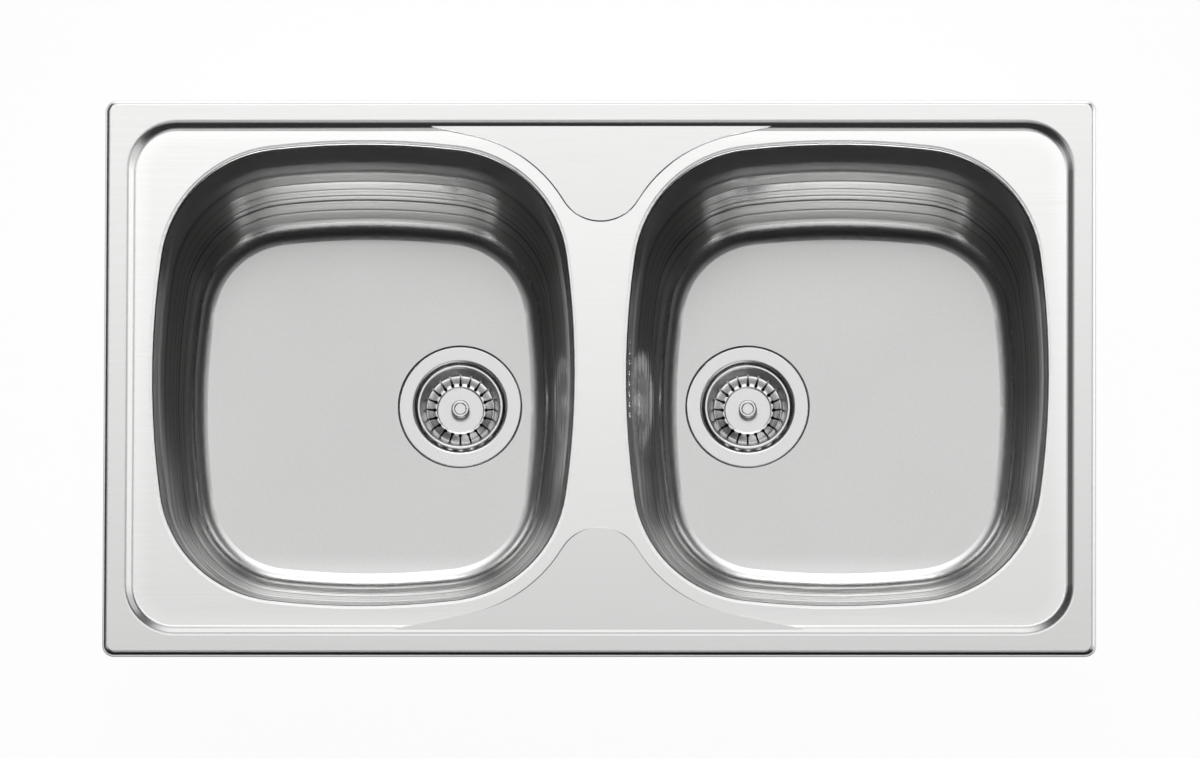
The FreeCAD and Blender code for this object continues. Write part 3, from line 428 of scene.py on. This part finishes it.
def brass(look):
    """Turned brass, slightly clouded."""
    material, shader = new_finish("insert_brass")
    point = shader.point()
    cloud = shader.noise(point, scale=150.0, detail=3.0)
    colour = shader.clouded(cloud, look.brass_colour, darkest=0.85, lightest=1.05)
    roughness = spread(look.brass_roughness, (cloud, 0.12))
    normal = shader.bump(cloud, distance=1e-5)
    principled(shader, colour, roughness, metallic=1.0, normal=normal)
    return material


def moulded(name, colour, roughness, tone=0.06):
    """Moulded plastic or rubber with a fine spark-eroded grain."""
    material, shader = new_finish(name)
    point = shader.point()
    grain = shader.noise(point, scale=1600.0)
    cloud = shader.noise(point, scale=25.0)
    tint = shader.clouded(cloud, colour, darkest=1.0 - tone, lightest=1.0 + tone)
    roughness = spread(roughness, (grain, 0.1))
    normal = shader.bump(grain, distance=2.5e-5)
    principled(shader, tint, roughness, metallic=0.0, normal=normal)
    return material


def cellular(name, colour, cells_a_metre, depth):
    """Foam or bitumen pad: small open cells over a matt body."""
    material, shader = new_finish(name)
    point = shader.point()
    sockets = {"Vector": point, "Scale": cells_a_metre}
    cells = shader.add("TexVoronoi", {"feature": "F1"}, sockets)
    cloud = shader.noise(point, scale=40.0, detail=3.0)
    tint = shader.clouded(cells, colour, darkest=0.7, lightest=1.2)
    roughness = spread(0.82, (cloud, 0.12))
    normal = shader.bump(cells + cloud * 0.5, distance=depth)
    principled(shader, tint, roughness, metallic=0.0, normal=normal)
    return material


def length(name, description, default):
    """A length in the panel."""
    return FloatProperty(name=name, description=description, default=default, unit="LENGTH")


def angle(name, description, degrees):
    """An angle in the panel."""
    return FloatProperty(
        name=name, description=description, default=math.radians(degrees), subtype="ANGLE"
    )


def colour_of(name, what, default):
    """A colour in the panel."""
    return FloatVectorProperty(
        name=name, description="Colour of " + what, default=default, subtype="COLOR"
    )


def blur_of(name, what, default):
    """A roughness in the panel."""
    return FloatProperty(name=name + " roughness", description="Blur of " + what, default=default)


class SinkStage(bpy.types.PropertyGroup):
    """Camera and light."""

    distance: length("Camera distance", "From the middle of the rim to the camera", 28.0)
    view_width: length("View width", "Width that the picture takes in at the rim", 1.0391)
    aim: FloatVectorProperty(
        name="Aim",
        description="Point in the middle of the picture",
        default=(0.0, -0.0016, 0.006),
        subtype="TRANSLATION",
    )
    tilt: angle("Tilt", "How far the camera stands to the front of straight above", 10.33)
    turn: angle("Turn", "How far the camera stands to the right of straight above", 1.21)
    light: FloatProperty(name="Light", description="Strength of all the lights", default=1.0)
    floor_colour: colour_of("Floor", "the floor", (0.9, 0.9, 0.9))


class SinkSteel(bpy.types.PropertyGroup):
    """Colours and polish of the metal pieces."""

    deck_colour: colour_of("Deck", "the deck", (0.70, 0.70, 0.695))
    bowl_colour: colour_of("Bowls", "the bowls", (0.68, 0.68, 0.675))
    polished_colour: colour_of("Strainers", "the strainers", (0.64, 0.64, 0.64))
    plated_colour: colour_of("Clips", "the clips", (0.60, 0.61, 0.60))
    brass_colour: colour_of("Inserts", "the inserts", (0.70, 0.50, 0.22))
    deck_roughness: blur_of("Deck", "the deck", 0.24)
    floor_roughness: blur_of("Floor", "the bowl floors", 0.32)
    wall_roughness: blur_of("Wall", "the bowl walls", 0.13)
    polished_roughness: blur_of("Strainer", "the strainers", 0.26)
    plated_roughness: blur_of("Clip", "the clips", 0.34)
    brass_roughness: blur_of("Insert", "the inserts", 0.32)

    def ring_table(self):
        """(level, half width, depth) of the rings that the press leaves round a bowl's wall; the
        colour is also darkened along them as painted shade.
        """
        return (
            (-0.0620, 0.0040, 0.00012),
            (-0.0815, 0.0014, 0.00008),
            (-0.0955, 0.0011, 0.00010),
            (-0.1065, 0.0012, 0.00014),
            (-0.1145, 0.0014, 0.00024),
            (-0.1295, 0.0012, 0.00014),
        )


class SinkTrim(bpy.types.PropertyGroup):
    """Colours of the rubber and plastic pieces."""

    rubber_colour: colour_of("Rubber", "the rubber", (0.025, 0.025, 0.027))
    foam_colour: colour_of("Rim seal", "the foam seal", (0.16, 0.16, 0.17))
    pad_colour: colour_of("Pads", "the sound pads", (0.07, 0.07, 0.075))
    grey_colour: colour_of("Wastes", "the grey plastic", (0.44, 0.45, 0.46))
    white_colour: colour_of("Catches", "the white plastic", (0.78, 0.78, 0.75))


def dress(material, *names):
    """Gives CAD nodes their finish, in every one of their material slots."""
    for name in names:
        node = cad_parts[name]
        for slot in node.material_slots:
            slot.material = material


def named(*endings):
    """CAD nodes whose names end in one of these."""
    return [name for name in sorted(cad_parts) if name.endswith(endings)]


def heading(lean, bearing):
    """Direction that many degrees from straight up, at a bearing from +X towards +Y."""
    lean, bearing = math.radians(lean), math.radians(bearing)
    level = math.sin(lean)
    return Vector((level * math.cos(bearing), level * math.sin(bearing), math.cos(lean)))


class SINK_OT_deck(bpy.types.Operator):
    """Finish the deck and the rails welded under it"""

    bl_idname = "sink.deck"
    bl_label = "Deck"

    def execute(self, context):
        dress(deck_steel(context.scene.sink_steel), "deck", *named("_rail"))
        return {"FINISHED"}


class SINK_OT_bowls(bpy.types.Operator):
    """Finish the two bowls"""

    bl_idname = "sink.bowls"
    bl_label = "Bowls"

    def execute(self, context):
        dress(bowl_steel(context.scene.sink_steel), *named("_bowl"))
        return {"FINISHED"}


class SINK_OT_strainers(bpy.types.Operator):
    """Finish the cups, baskets, knobs, pillar screws and their inserts"""

    bl_idname = "sink.strainers"
    bl_label = "Strainers"

    def execute(self, context):
        dress(turned_steel(context.scene.sink_steel), *named(*STRAINER_PIECES))
        dress(brass(context.scene.sink_steel), *named("_screw_insert"))
        return {"FINISHED"}


class SINK_OT_clips(bpy.types.Operator):
    """Finish the clips, the stud nuts and the hose clamps"""

    bl_idname = "sink.clips"
    bl_label = "Clips"

    def execute(self, context):
        clips = named("_clip_bolt", "_clip_claw", "_clip_nut")
        dress(plated_steel(context.scene.sink_steel), *clips, "overflow_nuts", "hose_clamps")
        return {"FINISHED"}


class SINK_OT_mouldings(bpy.types.Operator):
    """Finish the waste bodies, the overflow housing, the hose and the catches"""

    bl_idname = "sink.mouldings"
    bl_label = "Mouldings"

    def execute(self, context):
        grey = context.scene.sink_trim.grey_colour
        white = context.scene.sink_trim.white_colour
        dress(moulded("waste_grey_plastic", grey, 0.42), *named("_waste_body"))
        dress(moulded("overflow_grey_plastic", grey, 0.38), "overflow_housing")
        dress(moulded("hose_grey_plastic", shade(grey, 0.85), 0.46), "overflow_hose")
        dress(moulded("catch_white_plastic", white, 0.4, tone=0.02), *named("_basket_catch"))
        return {"FINISHED"}


class SINK_OT_seals(bpy.types.Operator):
    """Finish the gaskets, the stoppers, the rim seal and the sound pads"""

    bl_idname = "sink.seals"
    bl_label = "Seals and pads"

    def execute(self, context):
        trim = context.scene.sink_trim
        rubber = moulded("seal_black_rubber", trim.rubber_colour, 0.62)
        foam = cellular("rim_seal_foam", trim.foam_colour, cells_a_metre=900.0, depth=1.5e-4)
        bitumen = cellular("sound_pad_bitumen", trim.pad_colour, cells_a_metre=500.0, depth=2e-4)
        dress(rubber, *named("_gasket", "_basket_seal"))
        dress(foam, "rim_seal")
        dress(bitumen, *named("_sound_pad"))
        return {"FINISHED"}


class SINK_OT_stage(bpy.types.Operator):
    """Floor, light and camera"""

    bl_idname = "sink.stage"
    bl_label = "Stage"

    def execute(self, context):
        stage = context.scene.sink_stage
        self.floor(stage)
        self.sky(context.scene, stage)
        self.lamps(stage)
        self.camera(context.scene, stage)
        context.scene.view_settings.view_transform = "Standard"
        return {"FINISHED"}

    def floor(self, stage):
        """A pale plane under the sink, near white to the camera and clear from below."""
        mesh = bpy.data.meshes.new("floor")
        signs = ((-1, -1), (1, -1), (1, 1), (-1, 1))
        corners = [(x * FLOOR_REACH, y * FLOOR_REACH, LOWEST) for x, y in signs]
        mesh.from_pydata(corners, [], [(0, 1, 2, 3)])
        floor = bpy.data.objects.new("floor", mesh)
        bpy.context.collection.objects.link(floor)
        material, shader = new_finish("floor_pale")
        rays = ("Is Camera Ray", "Is Glossy Ray", "Is Transmission Ray")
        camera, glossy, through = (shader.add("LightPath", out=name) for name in rays)
        lit = shader.add("BsdfDiffuse", sockets={"Color": shade(stage.floor_colour, 1.0)})
        plain = shader.add("Emission", sockets={"Color": WHITE, "Strength": FLOOR_GLOW})
        share = (camera + glossy + through) * FLOOR_GLOW_SHARE
        above = shader.add("MixShader", sockets={0: share, 1: lit, 2: plain})
        below = shader.add("NewGeometry", out="Backfacing")
        clear = shader.add("BsdfTransparent")
        shader.output(shader.add("MixShader", sockets={0: below, 1: above, 2: clear}))
        mesh.materials.append(material)

    def sky(self, scene, stage):
        """A dim sky with the soft lights in it."""
        world = bpy.data.worlds.new("studio")
        scene.world = world
        shader = Shader(world)
        direction = shader.add("TexCoord", out="Generated")
        level = SKY_LEVEL * stage.light
        for lean, bearing, width, strength in SOFT_LIGHTS:
            sockets = {0: direction, 1: heading(lean, bearing)}
            facing = shader.add("VectorMath", {"operation": "DOT_PRODUCT"}, sockets, out=1)
            outer, inner = (math.cos(math.radians(width * share)) for share in SOFT_EDGE)
            level = level + shader.smooth(facing, outer, inner) * (strength * stage.light)
        background = shader.add("Background", sockets={"Color": WHITE, "Strength": level})
        shader.output(background, "OutputWorld")

    def lamps(self, stage):
        """Wide, distant lamps that each light one group of pieces."""
        groups = {}
        for group, names in LIT_GROUPS.items():
            groups[group] = bpy.data.collections.new(group + "_lit")
            for name in named(*names):
                groups[group].objects.link(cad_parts[name])
        for number, (group, lean, bearing, width, strength) in enumerate(SOFT_LAMPS):
            data = bpy.data.lights.new(f"{group}_lamp_{number}", "SUN")
            data.angle = 2 * math.radians(width)
            data.energy = strength * stage.light * math.pi * math.sin(math.radians(width)) ** 2
            lamp = bpy.data.objects.new(data.name, data)
            lamp.rotation_euler = heading(lean, bearing).to_track_quat("Z", "Y").to_euler()
            lamp.location = heading(lean, bearing) * stage.distance
            lamp.light_linking.receiver_collection = groups[group]
            if group in BLOCKERS:
                lamp.light_linking.blocker_collection = groups[BLOCKERS[group]]
            bpy.context.collection.objects.link(lamp)

    def camera(self, scene, stage):
        """Looks down at the rim from a little to the front, with the sink's length level."""
        data = bpy.data.cameras.new("camera")
        data.sensor_width = SENSOR_WIDTH
        data.lens = data.sensor_width * stage.distance / stage.view_width
        data.clip_start = NEAREST
        data.clip_end = FARTHEST
        camera = bpy.data.objects.new("camera", data)
        back = Vector((math.tan(stage.turn), -math.tan(stage.tilt), 1.0)).normalized()
        up = back.cross(Vector((1.0, 0.0, 0.0))).normalized()
        right = up.cross(back)
        camera.matrix_world = Matrix((right, up, back)).transposed().to_4x4()
        camera.location = Vector(stage.aim) + back * stage.distance
        bpy.context.collection.objects.link(camera)
        scene.camera = camera


OPERATORS = (
    SINK_OT_deck,
    SINK_OT_bowls,
    SINK_OT_strainers,
    SINK_OT_clips,
    SINK_OT_mouldings,
    SINK_OT_seals,
    SINK_OT_stage,
)


class SINK_PT_panel(bpy.types.Panel):
    """Lists the camera and light settings, the colours and polish, and the steps"""

    bl_idname = "SINK_PT_panel"
    bl_label = "Inset sink"
    bl_space_type = "VIEW_3D"
    bl_region_type = "UI"
    bl_category = "Sink"

    def draw(self, context):
        for group in (context.scene.sink_stage, context.scene.sink_steel, context.scene.sink_trim):
            box = self.layout.box()
            for name in group.__annotations__:
                box.prop(group, name)
        for operator in OPERATORS:
            self.layout.operator(operator.bl_idname)


GROUPS = {"sink_stage": SinkStage, "sink_steel": SinkSteel, "sink_trim": SinkTrim}
CLASSES = (*GROUPS.values(), *OPERATORS, SINK_PT_panel)


def register():
    for made in CLASSES:
        bpy.utils.register_class(made)
    for name, group in GROUPS.items():
        setattr(bpy.types.Scene, name, PointerProperty(type=group))


def unregister():
    for name in GROUPS:
        delattr(bpy.types.Scene, name)
    for made in reversed(CLASSES):
        bpy.utils.unregister_class(made)


def main():
    register()
    bpy.ops.sink.deck()
    bpy.ops.sink.bowls()
    bpy.ops.sink.strainers()
    bpy.ops.sink.clips()
    bpy.ops.sink.mouldings()
    bpy.ops.sink.seals()
    bpy.ops.sink.stage()


if __name__ == "__main__":
    main()
